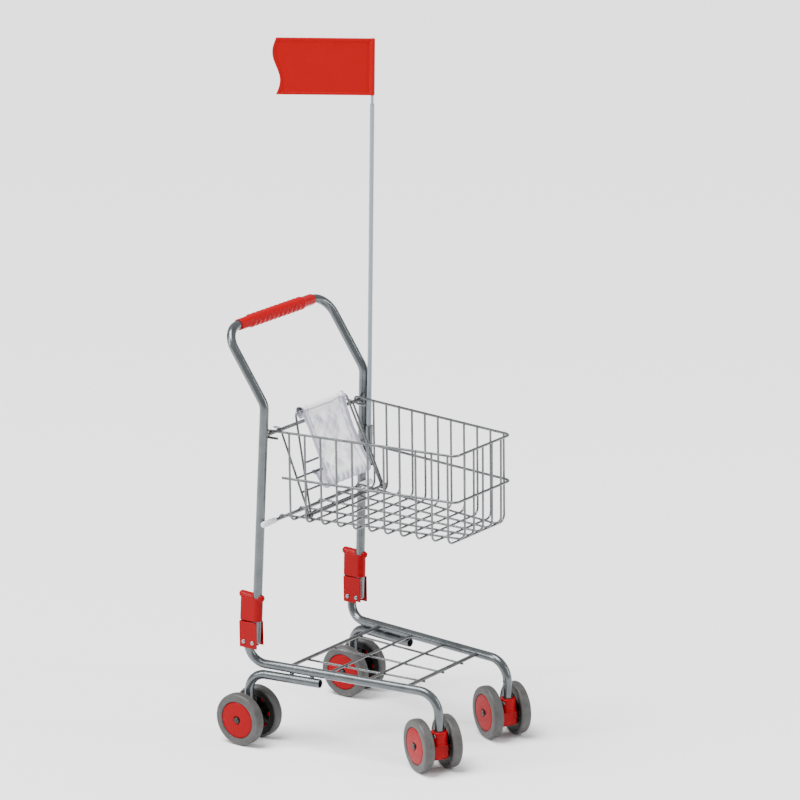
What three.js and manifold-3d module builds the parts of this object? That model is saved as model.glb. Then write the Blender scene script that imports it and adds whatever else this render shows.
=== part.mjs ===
// Child's shopping trolley: folding tube frame, hung wire basket with a doll seat,
// luggage rack, twin rear wheels, twin-wheel front casters and a flag on a pole.
// Millimetres, +X forward, +Y to the pusher's left, +Z up, floor at z = 0.
import * as THREE from "three";
import { mergeVertices } from "three/addons/utils/BufferGeometryUtils.js";
import Module from "manifold-3d";

const wasm = await Module();
wasm.setup();

// ---------- driving dimensions ----------
const GAP = 0.3; // running or weld gap between neighbouring pieces
const TUBE = 6; // radius of every frame tube
const WIRE = 1.5; // radius of the basket wires
const RIM = 1.75; // radius of the rim and ring wires

const PIVOT = { x: -5.8, y: 113.1, z: 137 }; // fold pivots
const LEAN = 0.0531; // forward lean of the uprights, per unit of height
const SPLAY = -0.02; // inward run of the uprights, per unit of height
const KINK_Z = 457; // where the uprights bend back to the push bar
const BAR = { x: -51, z: 548, y: 106.9 }; // push bar axis and hoop corner
const CROSS_Z = 415.8; // cross bar that the basket hangs on
const CROSS_R = 2.5;

const SIDE_Z = 106.5; // chassis side tubes
const STEM = { x: 259, y: 77 }; // caster stems
const WHEEL_R = 35;
const WHEEL_W = 14;
const TWIN = 20; // from the middle of a twin pair to each wheel
const REAR = { x: -18, y: 115 }; // rear wheel pairs
const TRAIL = 17; // from a caster stem back to its axle
const CASTER_TURN = -28.4; // how the casters stand, in degrees about +Z

const RIM_Z = 420.5; // basket rim
const RING_Z = 359.5; // wire half way down the basket
const FLOOR_Z = 303; // underside cross wires of the basket
const FRONT_X = 277.5;
const WIRES = 11; // cross wires of the basket

const UP = new THREE.Vector3(0, 0, 1);
const ACROSS = new THREE.Vector3(0, 1, 0);
const V = (x, y, z) => new THREE.Vector3(x, y, z);

// ---------- materials ----------
const steel = () => new THREE.MeshStandardMaterial({ color: 0x8d939b, roughness: 0.38, metalness: 0.85 });
const wireSteel = () => new THREE.MeshStandardMaterial({ color: 0x9aa0a7, roughness: 0.35, metalness: 0.85 });
const red = () => new THREE.MeshStandardMaterial({ color: 0xd3091b, roughness: 0.3, metalness: 0 });
const rubber = () => new THREE.MeshStandardMaterial({ color: 0x7b7977, roughness: 0.7, metalness: 0 });
const white = () => new THREE.MeshStandardMaterial({ color: 0xf1f1f3, roughness: 0.5, metalness: 0 });
const zinc = () => new THREE.MeshStandardMaterial({ color: 0xb9bcc0, roughness: 0.3, metalness: 0.9 });

// ---------- solids ----------
function solid(geometry) {
  const bare = geometry.index ? geometry.toNonIndexed() : geometry.clone();
  const only = new THREE.BufferGeometry().setAttribute("position", bare.getAttribute("position"));
  const merged = mergeVertices(only, 1e-4);
  const triVerts = new Uint32Array(merged.index.array);
  const vertProperties = new Float32Array(merged.attributes.position.array);
  const make = () => new wasm.Manifold(new wasm.Mesh({ numProp: 3, vertProperties, triVerts }));
  const first = make();
  if (first.volume() >= 0) return first;
  for (let i = 0; i < triVerts.length; i += 3) [triVerts[i + 1], triVerts[i + 2]] = [triVerts[i + 2], triVerts[i + 1]];
  return make();
}

const join = (...list) => list.flat().reduce((a, b) => a.add(b));
const cut = (body, ...tools) => tools.flat().reduce((a, b) => a.subtract(b), body);

// Straight runs joined by round bends; one cross-section is set at each listed point.
class BentPath extends THREE.Curve {
  constructor(points, bend, perQuarter) {
    super();
    this.rings = [points[0].clone()];
    for (let i = 1; i < points.length - 1; i++) {
      const p = points[i];
      const a = points[i - 1].clone().sub(p).normalize();
      const b = points[i + 1].clone().sub(p).normalize();
      const half = a.angleTo(b) / 2;
      const radius = Array.isArray(bend) ? bend[i - 1] : bend;
      if (!radius) {
        this.rings.push(p.clone());
        continue;
      }
      const centre = a.clone().add(b).normalize().multiplyScalar(radius / Math.sin(half)).add(p);
      const from = a.clone().multiplyScalar(radius / Math.tan(half)).add(p).sub(centre);
      const to = b.clone().multiplyScalar(radius / Math.tan(half)).add(p).sub(centre);
      const axis = from.clone().cross(to).normalize();
      const turn = Math.PI - 2 * half;
      const count = Math.max(1, Math.ceil((turn / (Math.PI / 2)) * perQuarter));
      for (let k = 0; k <= count; k++) this.rings.push(from.clone().applyAxisAngle(axis, (turn * k) / count).add(centre));
    }
    this.rings.push(points[points.length - 1].clone());
  }
  getPoint(t) {
    const at = t * (this.rings.length - 1);
    const i = Math.min(Math.floor(at), this.rings.length - 2);
    return this.rings[i].clone().lerp(this.rings[i + 1], at - i);
  }
  getPointAt(t) {
    return this.getPoint(t);
  }
  getSpacedPoints() {
    return this.rings.map((p) => p.clone());
  }
  getTangentAt(t) {
    const i = Math.round(t * (this.rings.length - 1));
    const dir = V(0, 0, 0);
    if (i > 0) dir.add(this.rings[i].clone().sub(this.rings[i - 1]).normalize());
    if (i < this.rings.length - 1) dir.add(this.rings[i + 1].clone().sub(this.rings[i]).normalize());
    return dir.normalize();
  }
}

function disc(radius, sides) {
  const points = [];
  for (let i = 0; i < sides; i++) {
    const a = ((i + 0.5) / sides) * 2 * Math.PI;
    points.push(new THREE.Vector2(radius * Math.cos(a), radius * Math.sin(a)));
  }
  return new THREE.Shape(points);
}

// Round bar or tube bent along a line of points.
function rod(points, radius, bend = 0, sides = 5, perQuarter = 2) {
  const path = new BentPath(points, bend, perQuarter);
  return solid(
    new THREE.ExtrudeGeometry(disc(radius, sides), {
      steps: path.rings.length - 1,
      bevelEnabled: false,
      extrudePath: path,
    }),
  );
}

// Turned solid: profile of [radius, height], along dir from the point at.
function turned(profile, segments, at, dir = UP, phase = 0) {
  const geometry = new THREE.LatheGeometry(
    profile.map(([r, h]) => new THREE.Vector2(r, h)),
    segments,
    phase,
  );
  geometry.applyQuaternion(new THREE.Quaternion().setFromUnitVectors(V(0, 1, 0), dir.clone().normalize()));
  geometry.translate(at.x, at.y, at.z);
  return solid(geometry);
}

const drum = (radius, from, to, segments, at, dir) =>
  turned([[0, from], [radius, from], [radius, to], [0, to]], segments, at, dir);

function box(x0, x1, y0, y1, z0, z1) {
  const geometry = new THREE.BoxGeometry(x1 - x0, y1 - y0, z1 - z0);
  geometry.translate((x0 + x1) / 2, (y0 + y1) / 2, (z0 + z1) / 2);
  return solid(geometry);
}

// A flat outline of [a, b] points, thick along +c, set on the basis vectors A, B at a point.
function plate(shape, thick, at, A, B) {
  const geometry = new THREE.ExtrudeGeometry(shape, { depth: thick, bevelEnabled: false, curveSegments: 8 });
  const C = A.clone().cross(B);
  geometry.applyMatrix4(new THREE.Matrix4().makeBasis(A, B, C).setPosition(at));
  return solid(geometry);
}

function placed(body, matrix) {
  return body.transform(matrix.elements);
}

// The layout below puts x = 0 near the rear axle; the part's origin is under the middle of its box.
const MIDDLE_X = 110.08;
const group = new THREE.Group();
const layout = new THREE.Group();
layout.position.x = -MIDDLE_X;
group.add(layout);
function add(name, body, material) {
  const mesh = body.getMesh();
  const geometry = new THREE.BufferGeometry();
  geometry.setAttribute("position", new THREE.BufferAttribute(new Float32Array(mesh.vertProperties), 3));
  geometry.setIndex(new THREE.BufferAttribute(new Uint32Array(mesh.triVerts), 1));
  const flat = geometry.toNonIndexed();
  flat.computeVertexNormals();
  const node = new THREE.Mesh(flat, material);
  node.name = name;
  layout.add(node);
}

const SIDES = [
  ["right", -1],
  ["left", 1],
];

// Point on the middle line of an upright.
const upright = (z, s) => V(PIVOT.x + LEAN * (z - PIVOT.z), s * (PIVOT.y + SPLAY * (z - PIVOT.z)), z);
const uprightDir = (s) => V(LEAN, s * SPLAY, 1).normalize();

// ---------- chassis ----------
const sidePath = (s) => [
  V(-19, s * PIVOT.y, 162),
  V(-19, s * PIVOT.y, 131),
  V(-15, s * 108.5, SIDE_Z),
  V(STEM.x, s * STEM.y, SIDE_Z),
  V(STEM.x, s * STEM.y, 48.5),
];
const sideTube = (s, radius) => rod(sidePath(s), radius, [12, 23, 28], 12, 4);
const sideKeepOut = SIDES.map(([, s]) => sideTube(s, TUBE + GAP));

for (const [side, s] of SIDES) {
  const rivetX = -20;
  const body = cut(
    sideTube(s, TUBE),
    drum(2.3, -12, 12, 12, V(rivetX, s * PIVOT.y, PIVOT.z), ACROSS),
  );
  add("side_tube_" + side, body, steel());

  // Rear leg: lies under the side tube, bends down between the twin wheels, open at its front end.
  const leg = rod([V(87, s * 99, 93.3), V(REAR.x, s * 113, 93.3), V(REAR.x, s * REAR.y, 28.5)], TUBE, [24], 12, 4);
  const pads = [44, 74].map((x) => {
    const y = s * (108.5 - 0.1167 * (x + 15) + 1.3);
    return drum(1.9, 0, 7, 8, V(x, y, 96), UP);
  });
  add(
    "rear_leg_" + side,
    cut(
      join(leg, pads),
      sideKeepOut,
      drum(4.7, -9, 3, 12, V(87, s * 99, 93.3), V(105, -s * 14, 0)),
      drum(2.8, -12, 12, 12, V(REAR.x, s * REAR.y, WHEEL_R), ACROSS),
    ),
    steel(),
  );

  // Axle of the twin rear wheels, with a spacer collar each side of the leg and a cap at each end.
  const reach = TWIN + WHEEL_W / 2;
  add(
    "rear_axle_" + side,
    turned(
      [
        [0, -reach - 2], [4.2, -reach - 2], [4.2, -reach - 0.3], [2.4, -reach - 0.3],
        [2.4, -12.6], [4.6, -12.6], [4.6, -6.6], [2.4, -6.6],
        [2.4, 6.6], [4.6, 6.6], [4.6, 12.6], [2.4, 12.6],
        [2.4, reach + 0.3], [4.2, reach + 0.3], [4.2, reach + 2], [0, reach + 2],
      ],
      10,
      V(REAR.x, s * REAR.y, WHEEL_R),
      ACROSS,
    ),
    zinc(),
  );

  // Fold bracket: upright channel, open to the front, at the top and at the bottom.
  const y = s * PIVOT.y;
  const channel = cut(
    box(-27, 0.8, y - 8, y + 8, 129, 164.5),
    box(-25.3, 10, y - 6.4, y + 6.4, 120, 170),
    box(-7, 10, y - 6 - 3 * s, y + 6 - 3 * s, 120, 131.5), // the inner flange clears the side tube
    drum(2.3, -12, 12, 12, V(rivetX, y, PIVOT.z), ACROSS),
    drum(2.3, -12, 12, 12, V(PIVOT.x, y, PIVOT.z), ACROSS),
  );
  add("hinge_bracket_" + side, channel, red());
  const rivet = [
    [0, -10], [2, -9.8], [3, -8.9], [3, -8.3], [2, -8.3], [2, 8.3], [3, 8.3], [3, 8.9], [2, 9.8], [0, 10],
  ];
  add("bracket_rivet_" + side, turned(rivet, 12, V(rivetX, y, PIVOT.z), ACROSS), zinc());
  add("pivot_rivet_" + side, turned(rivet, 12, V(PIVOT.x, y, PIVOT.z), ACROSS), zinc());
}

// Luggage rack: four cross wires between the side tubes and three long wires under them.
{
  const wires = [];
  for (const [x, r] of [[37, 2.5], [94.5, 1.75], [152, 1.75], [209.5, 2.5]]) {
    const y = 110 - 0.1167 * (x + 15);
    wires.push(rod([V(x, -y, SIDE_Z + 0.5), V(x, y, SIDE_Z + 0.5)], r, 0, 8));
  }
  for (const [back, front] of [[-57, -42], [0, 0], [57, 42]])
    wires.push(rod([V(33, back, SIDE_Z - 2.2), V(213, front, SIDE_Z - 2.2)], WIRE, 0, 6));
  add("rack_grille", cut(join(wires), sideKeepOut), wireSteel());
}

// ---------- front casters ----------
const rolled = THREE.MathUtils.degToRad(CASTER_TURN);
const FORWARD = V(Math.cos(rolled), Math.sin(rolled), 0); // rolling direction
const AXLE = V(-Math.sin(rolled), Math.cos(rolled), 0); // wheel axis
const FORK_WIDE = 19;
for (const [side, s] of SIDES) {
  const stem = V(STEM.x, s * STEM.y, 0);
  // Fixed collar on the stem.
  const screwAt = stem.clone().setZ(52);
  const screwFacing = V(0, -1, 0);
  add(
    "caster_socket_" + side,
    cut(
      turned([[0, 40], [11.5, 40], [11.5, 42], [11, 42.6], [11, 55.5], [10, 57], [0, 57]], 20, stem),
      drum(TUBE + 0.4, 48.2, 60, 16, stem),
      drum(4.3, 35, 49, 14, stem),
      drum(1.7, 4, 14, 10, screwAt, screwFacing),
      drum(3.1, 9.1, 14, 12, screwAt, screwFacing),
    ),
    red(),
  );
  add(
    "caster_screw_" + side,
    turned([[0, 6.8], [1.4, 6.8], [1.4, 9.4], [2.6, 9.4], [2.6, 10.4], [1.8, 11], [0, 11]], 10, screwAt, screwFacing),
    zinc(),
  );
  // Swivel fork: a block between the wheels with a king pin that turns in the collar.
  const axlePoint = stem.clone().addScaledVector(FORWARD, -TRAIL).setZ(WHEEL_R);
  const outline = new THREE.Shape();
  outline.moveTo(-8, 39.7);
  outline.lineTo(-8, 26);
  outline.quadraticCurveTo(-6.5, 17.5, 4, 17);
  outline.quadraticCurveTo(20, 17, 26.5, 30);
  outline.quadraticCurveTo(29, 36, 24, 39.7);
  outline.closePath();
  const back = FORWARD.clone().negate();
  const block = plate(outline, FORK_WIDE, stem.clone().addScaledVector(AXLE, -FORK_WIDE / 2), back, UP);
  add(
    "caster_fork_" + side,
    cut(join(block, drum(4, 38, 47.8, 14, stem)), drum(2.8, -12, 12, 12, axlePoint, AXLE)),
    red(),
  );
  const reach = TWIN + WHEEL_W / 2;
  add(
    "caster_axle_" + side,
    turned(
      [
        [0, -reach - 2], [4.2, -reach - 2], [4.2, -reach - 0.3], [2.4, -reach - 0.3],
        [2.4, -12.6], [4.6, -12.6], [4.6, -9.9], [2.4, -9.9],
        [2.4, 9.9], [4.6, 9.9], [4.6, 12.6], [2.4, 12.6],
        [2.4, reach + 0.3], [4.2, reach + 0.3], [4.2, reach + 2], [0, reach + 2],
      ],
      10,
      axlePoint,
      AXLE,
    ),
    zinc(),
  );
  for (const [place, t] of [["outer", s], ["inner", -s]]) {
    wheel("front_" + side + "_" + place, axlePoint.clone().addScaledVector(AXLE, t * TWIN), AXLE.clone().multiplyScalar(t));
    wheel("rear_" + side + "_" + place, V(REAR.x, s * REAR.y + t * TWIN, WHEEL_R), V(0, t, 0));
  }
}

// Wheel: rubber tyre on a moulded hub, closed on its outer face and dished on its inner face.
function wheel(name, at, out) {
  const w = WHEEL_W / 2;
  const segments = 24;
  const tread = WHEEL_R / Math.cos(Math.PI / segments); // a flat of the tread lies on the floor
  add(
    "tyre_" + name,
    turned(
      [
        [24.8, -w + 2.8], [31.3, -w + 2.8], [31.3, -w], [33, -w], [34.2, -w + 1.5], [tread, -w + 4], [tread, w - 4], [34, w - 1.5], [31.5, w], [24.8, w],
        [24.8, -w + 2.8],
      ],
      segments,
      at,
      out,
      Math.PI / segments,
    ),
    rubber(),
  );
  const shell = turned(
    [
      [2.8, -w], [6.5, -w], [7.5, w - 3], [21.5, w - 4], [22.3, -w + 0.3], [31, -w + 0.3], [31, -w + 2.5],
      [24.5, -w + 2.5], [24.5, w - 0.9], [23.6, w],
      [2.8, w], [2.8, -w],
    ],
    segments,
    at,
    out,
    Math.PI / segments,
  );
  add("hub_" + name, shell, red());
}

// ---------- upper frame ----------
{
  const hoop = rod(
    [
      upright(PIVOT.z, -1),
      upright(KINK_Z, -1),
      V(BAR.x, -BAR.y, BAR.z),
      V(BAR.x, BAR.y, BAR.z),
      upright(KINK_Z, 1),
      upright(PIVOT.z, 1),
    ],
    TUBE,
    [20, 28, 28, 20],
    12,
    4,
  );
  const ends = SIDES.map(([, s]) => {
    const ball = new THREE.SphereGeometry(TUBE, 12, 8);
    const at = upright(PIVOT.z, s);
    ball.translate(at.x, at.y, at.z);
    return solid(ball);
  });
  const holes = SIDES.map(([, s]) => drum(2.3, -12, 12, 12, V(PIVOT.x, s * PIVOT.y, PIVOT.z), ACROSS));
  add("handle_hoop", cut(join(hoop, ends), holes), steel());

  // Ribbed grip with a plain sleeve at each end.
  const profile = [];
  const ribs = 12;
  const half = 57;
  const pitch = (2 * half) / ribs;
  profile.push([6.45, -78], [7.1, -78], [7.5, -77.5], [7.5, -half - 0.4], [7.9, -half]);
  for (let i = 0; i < ribs; i++) {
    const y = -half + i * pitch;
    profile.push([7.9, y + 0.9], [9, y + 2], [9, y + pitch - 2], [7.9, y + pitch - 0.9]);
  }
  profile.push([7.9, half], [7.5, half + 0.4], [7.5, 77.5], [7.1, 78], [6.45, 78], [6.45, -78]);
  add("handle_grip", turned(profile, 14, V(BAR.x, 0, BAR.z), ACROSS), red());

  const keepOut = SIDES.map(([, s]) => rod([upright(300, s), upright(445, s)], TUBE + GAP, 0, 12));
  const cross = upright(CROSS_Z, 1);
  add("cross_bar", cut(rod([V(cross.x, -104, CROSS_Z), V(cross.x, 104, CROSS_Z)], CROSS_R, 0, 10), keepOut), wireSteel());
}

// Lock collars: slide on the uprights down onto the fold brackets, each with a finger roll along its top.
const COLLAR_R = 7.4;
const COLLAR_FOOT = 29.2; // along the upright from the pivot
const COLLAR_TOP = 60.6;
for (const [side, s] of SIDES) {
  const up = uprightDir(s);
  const fore = ACROSS.clone().cross(up).normalize();
  const over = up.clone().cross(fore);
  const matrix = new THREE.Matrix4().makeBasis(fore, over, up).setPosition(upright(PIVOT.z, s));
  // Half-round in front, where it follows the tube, and square behind.
  const section = new THREE.Shape();
  section.moveTo(-22, -COLLAR_R);
  section.absarc(0, 0, COLLAR_R, -Math.PI / 2, Math.PI / 2);
  section.lineTo(-22, COLLAR_R);
  section.closePath();
  const body = plate(section, COLLAR_TOP - COLLAR_FOOT, V(0, 0, COLLAR_FOOT), V(1, 0, 0), V(0, 1, 0));
  const roll = turned(
    [[0, -29], [3, -28], [4.6, -26], [5, -24], [5, 5.6], [4.6, 7.6], [3, 9.6], [0, 10.6]],
    14,
    V(0, 0, COLLAR_TOP),
    V(1, 0, 0),
  );
  add("lock_collar_" + side, placed(cut(join(body, roll), drum(6.45, 20, 90, 16, V(0, 0, 0))), matrix), red());
}

// ---------- flag pole ----------
const POLE_AT = V(15.4, 109.3, 326);
const POLE_DIR = V(0.043, -0.0195, 1).normalize();
const POLE = 490;
{
  const screwAt = POLE_AT.clone().addScaledVector(POLE_DIR, 42);
  const outward = V(0.2, 1, 0);
  const neck = upright(352, 1);
  const sleeve = drum(4.9, 0, 54, 14, POLE_AT, POLE_DIR);
  const web = box(neck.x, neck.x + 11.5, neck.y - 1.6, neck.y + 1.6, 330, 374);
  add(
    "flag_pole_holder",
    cut(
      join(sleeve, web),
      rod([upright(300, 1), upright(400, 1)], TUBE + GAP, 0, 12),
      drum(3.35, -5, 60, 14, POLE_AT, POLE_DIR),
      drum(1.5, 0, 12, 10, screwAt, outward),
    ),
    steel(),
  );
  add(
    "holder_screw",
    turned(
      [[0, 3.5], [1.2, 3.5], [1.2, 5.3], [2.4, 5.3], [2.4, 6.4], [1.5, 7.1], [0, 7.1]],
      10,
      screwAt,
      outward,
    ),
    zinc(),
  );
  add(
    "flag_pole",
    cut(drum(3, 1.5, POLE, 12, POLE_AT, POLE_DIR), drum(2.35, POLE - 13, POLE + 5, 12, POLE_AT, POLE_DIR)),
    white(),
  );

  // Flag: thin panel with a raised border and a thick stem edge, on a spigot that turns in the pole.
  const away = V(-0.807, -0.59, 0);
  const side = away.clone().cross(POLE_DIR).normalize();
  const run = POLE_DIR.clone().cross(side).normalize();
  const outlineOf = (inset) => {
    const w = 124 - inset;
    const h = 75 - inset;
    const points = [new THREE.Vector2(inset, inset), new THREE.Vector2(w, inset)];
    for (let i = 1; i < 12; i++) {
      const t = i / 12;
      points.push(new THREE.Vector2(w - 5 * Math.sin(2 * Math.PI * t), inset + (h - inset) * t));
    }
    points.push(new THREE.Vector2(w, h), new THREE.Vector2(inset, h));
    return points;
  };
  const base = POLE_AT.clone().addScaledVector(POLE_DIR, POLE + 12);
  const panel = plate(new THREE.Shape(outlineOf(0)), 1.8, base.clone().addScaledVector(side, -0.9), run, POLE_DIR);
  const border = new THREE.Shape(outlineOf(0));
  border.holes.push(new THREE.Path(outlineOf(3.2)));
  const frame = plate(border, 3.4, base.clone().addScaledVector(side, -1.7), run, POLE_DIR);
  const stem = drum(3.2, 0, 75, 12, base, POLE_DIR);
  const spigot = drum(2, -22, 1, 12, base, POLE_DIR);
  add("flag", join(panel, frame, stem, spigot), red());
}

// ---------- basket ----------
const hookX = upright(CROSS_Z, 1).x;
const halfRim = (x) => 95.6 - (x - hookX) * 0.1285; // half width of the basket at its rim
const wireXs = Array.from({ length: WIRES }, (_, i) => 38 + 22.8 * i);
const BEND = 11; // from the basket's sides into its floor
const floorHalf = (x) => halfRim(x) - BEND; // where the straight floor wires stop
const hookTurn = CROSS_R + RIM + 0.4;
const FRONT_BREAK = FRONT_X - 9;

for (const [side, s] of SIDES) {
  // Rim wire: a hook round the cross bar, then the side run up to the front corner.
  const atX = (x, z) => V(x, s * halfRim(x), z);
  const rim = rod(
    [
      atX(hookX + 13, CROSS_Z - hookTurn),
      atX(hookX - hookTurn, CROSS_Z - hookTurn),
      atX(hookX - hookTurn, CROSS_Z + hookTurn),
      atX(FRONT_BREAK, CROSS_Z + hookTurn),
    ],
    RIM,
    [hookTurn - 0.01, hookTurn - 0.01],
    6,
    3,
  );
  const ring = rod([atX(27, RING_Z), atX(FRONT_BREAK, RING_Z)], RIM, 0, 6);
  const uprights = wireXs.map((x) => {
    const y = s * (halfRim(x) - 0.4);
    return rod([V(x, y, RIM_Z + 0.6), V(x, y, FLOOR_Z), V(x, y - s * (BEND - 0.4), FLOOR_Z)], WIRE, BEND - 1.2);
  });
  add("basket_side_" + side, join(rim, ring, uprights), wireSteel());
}

{
  // Front panel: rim and ring corners with five wires that turn under into the floor.
  const y = halfRim(FRONT_BREAK + GAP);
  const loop = (z) =>
    rod(
      [V(FRONT_BREAK + GAP, -y, z), V(FRONT_X, -y + 2, z), V(FRONT_X, y - 2, z), V(FRONT_BREAK + GAP, y, z)],
      RIM,
      7.5,
      6,
      3,
    );
  const down = [-40, -20, 0, 20, 40].map((w) =>
    rod(
      [V(FRONT_X - 0.4, w, RIM_Z + 0.6), V(FRONT_X - 1.2, w, FLOOR_Z + 2.2), V(FRONT_X - 14, w, FLOOR_Z + 2.2)],
      WIRE,
      11,
    ),
  );

  // Floor: the straight middles of the cross wires with five long wires over them.
  const across = wireXs.map((x) => rod([V(x, -floorHalf(x) + GAP, FLOOR_Z), V(x, floorHalf(x) - GAP, FLOOR_Z)], WIRE));
  const foremost = across.pop(); // welded under the turn of the front wires
  add("basket_front", join(loop(CROSS_Z + hookTurn), loop(RING_Z), down, foremost), wireSteel());
  const along = [-1, -0.5, 0, 0.5, 1].map((t) =>
    rod([V(15.6, 83 * t, FLOOR_Z + 2.2), V(FRONT_X - 14.5, 40 * t, FLOOR_Z + 2.2)], WIRE),
  );
  add("basket_floor", join(across, along), wireSteel());

  // Rear floor bar and its end caps, which rest on the uprights.
  const rearX = 12.9;
  add("basket_rear_bar", rod([V(rearX, -114, 299.8), V(rearX, 114, 299.8)], 2.4, 0, 10), wireSteel());
  for (const [side, s] of SIDES)
    add(
      "bar_cap_" + side,
      turned(
        [[2.7, 92], [3.6, 92], [4, 92.6], [4, 116.6], [2.8, 118.2], [0, 118.2], [0, 114.4], [2.7, 114.4], [2.7, 92]],
        14,
        V(rearX, 0, 299.8),
        V(0, s, 0),
      ),
      white(),
    );
}

// ---------- doll seat ----------
// The gate, the back frame and the cloth are one unit that turns on a bar over the basket floor.
const HINGE = { x: 60, z: 311.5 };
{
  add("seat_hinge_bar", rod([V(HINGE.x, -85.2, HINGE.z), V(HINGE.x, 85.2, HINGE.z)], 2, 0, 10), wireSteel());
  const eye = (y) =>
    turned([[2.4, -1.4], [4.2, -1.4], [4.2, 1.4], [2.4, 1.4], [2.4, -1.4]], 14, V(HINGE.x, y, HINGE.z), ACROSS);
  // Point on the line from the hinge to a top corner, at a height.
  const toward = (top, foot) => (z) => {
    const t = (z - HINGE.z) / (top.z - HINGE.z);
    return V(HINGE.x + (top.x - HINGE.x) * t, foot + (top.y - foot) * t, z);
  };
  const wire = (line, z, over = 0) => {
    const p = line(z);
    return rod([V(p.x, -p.y - over, z), V(p.x, p.y + over, z)], WIRE);
  };
  const mirrored = (p, s) => V(p.x, s * p.y, p.z);

  // Gate: its legs lean back to the cross bar and bend over it.
  const turn = CROSS_R + WIRE + 0.4;
  const gateTop = V(hookX + turn, 77.5, CROSS_Z + turn);
  const gate = toward(gateTop, 80.5);
  const legs = SIDES.map(([, s]) =>
    join(
      rod([V(hookX - 6.5, s * 77.5, gateTop.z), mirrored(gateTop, s), mirrored(gate(HINGE.z + 3), s)], WIRE, 3.6),
      eye(s * 80.5),
    ),
  );
  add("gate_frame", join(legs, wire(gate, 357.7, 0.8), wire(gate, 340, 0.8)), wireSteel());

  // Back frame: an upturned U whose legs spread towards the hinge bar.
  const top = V(20, 54, 438);
  const back = toward(top, 77);
  const hoop = rod(
    [mirrored(back(HINGE.z + 3), -1), mirrored(top, -1), mirrored(top, 1), mirrored(back(HINGE.z + 3), 1)],
    WIRE,
    10,
    6,
    4,
  );
  add("back_frame", join(hoop, eye(-77), eye(77), wire(back, 374)), wireSteel());

  // Seat cloth: a sleeve over the top of the back frame, a sloping front, and a base tied back to the gate.
  const tie = gate(357.7);
  const line = [];
  const around = (cx, cz, r, from, to, n) => {
    for (let i = 0; i <= n; i++) {
      const a = THREE.MathUtils.degToRad(from + ((to - from) * i) / n);
      line.push([cx + r * Math.cos(a), cz + r * Math.sin(a)]);
    }
  };
  line.push([18.4, 431]);
  around(top.x, top.z, 3.1, 175, 10, 6);
  line.push([27, 424], [38, 398], [50, 374], [60, 356], [65, 347]); // down the front
  line.push([64.9, 343.8], [61, 341.2], [55.5, 340.5], [50.5, 344], [46, 350.5]); // under and back
  around(tie.x, tie.z, 3.1, -40, -200, 5);
  const thick = 1.1;
  const outer = [];
  const inner = [];
  line.forEach(([x, z], i) => {
    const [ax, az] = line[Math.max(i - 1, 0)];
    const [bx, bz] = line[Math.min(i + 1, line.length - 1)];
    const d = Math.hypot(bx - ax, bz - az);
    const nx = -(bz - az) / d;
    const nz = (bx - ax) / d;
    outer.push(new THREE.Vector2(x + nx * thick, z + nz * thick));
    inner.push(new THREE.Vector2(x - nx * thick, z - nz * thick));
  });
  const profile = new THREE.Shape([...outer, ...inner.reverse()]);
  add("seat_cloth", plate(profile, 84, V(0, 42, 0), V(1, 0, 0), UP), white());
}

export default group;
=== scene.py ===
"""Child's shopping trolley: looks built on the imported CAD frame."""
import math

import bpy
from mathutils import Matrix, Quaternion, Vector, noise


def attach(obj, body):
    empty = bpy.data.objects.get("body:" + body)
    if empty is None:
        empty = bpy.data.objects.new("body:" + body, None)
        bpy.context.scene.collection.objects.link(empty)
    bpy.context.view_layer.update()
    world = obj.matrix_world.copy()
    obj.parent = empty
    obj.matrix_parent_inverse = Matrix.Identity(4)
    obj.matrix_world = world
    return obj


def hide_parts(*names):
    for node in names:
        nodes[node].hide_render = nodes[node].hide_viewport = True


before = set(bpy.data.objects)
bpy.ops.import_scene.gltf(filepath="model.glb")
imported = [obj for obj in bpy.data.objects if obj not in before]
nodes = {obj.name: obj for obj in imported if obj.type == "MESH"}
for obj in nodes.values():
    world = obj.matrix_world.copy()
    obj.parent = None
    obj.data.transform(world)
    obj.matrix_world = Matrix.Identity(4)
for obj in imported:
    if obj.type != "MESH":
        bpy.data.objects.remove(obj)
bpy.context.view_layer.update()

# ---------------------------------------------------------------- layout, as the CAD has it, in mm
MID = 110.08  # how far the part's origin is ahead of the layout's x = 0
TUBE, WIRE, RIM = 6.0, 1.5, 1.75  # radii of the frame tube, the thin wire and the rim wire
PIVOT = (-5.8, 113.1, 137.0)
LEAN, SPLAY = 0.0531, -0.02  # of the uprights, per mm of height
KINK_Z = 457.0
BAR = (-51.0, 106.9, 548.0)
CROSS_Z, CROSS_R = 415.8, 2.5
SIDE_Z, SIDE_BACK, SIDE_TAPER = 106.5, (-15, 108.5), 0.1167
LEG_Z, LEG_WELD_Z = 93.3, 99.8
STEM = (259.0, 77.0)
WHEEL_R, WHEEL_W, TWIN = 35.0, 14.0, 20.0
REAR = (-18.0, 115.0)
TRAIL = 17.0
TURN = math.radians(-28.4)  # where the casters stand at rest
FLOOR_Z, RING_Z, FRONT_X, BEND = 303.0, 359.5, 277.5, 11.0
HOOK_GAP = 0.4
RIM_Z = CROSS_Z + CROSS_R + RIM + HOOK_GAP
RIM_HALF, RIM_TAPER = 95.6, 0.1285
REAR_BAR = (12.9, 299.8)
HINGE = (60.0, 311.5)
POLE_AT = Vector((15.4, 109.3, 326.0))
POLE_DIR = Vector((0.043, -0.0195, 1.0)).normalized()
POLE = 490.0
SIDES = (("right", -1), ("left", 1))
Y, Z = Vector((0, 1, 0)), Vector((0, 0, 1))


def upright(z, s):
    return Vector((PIVOT[0] + LEAN * (z - PIVOT[2]), s * (PIVOT[1] + SPLAY * (z - PIVOT[2])), z))


HOOK_X = upright(CROSS_Z, 1).x


def half_rim(x):
    return RIM_HALF - (x - HOOK_X) * RIM_TAPER


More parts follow.
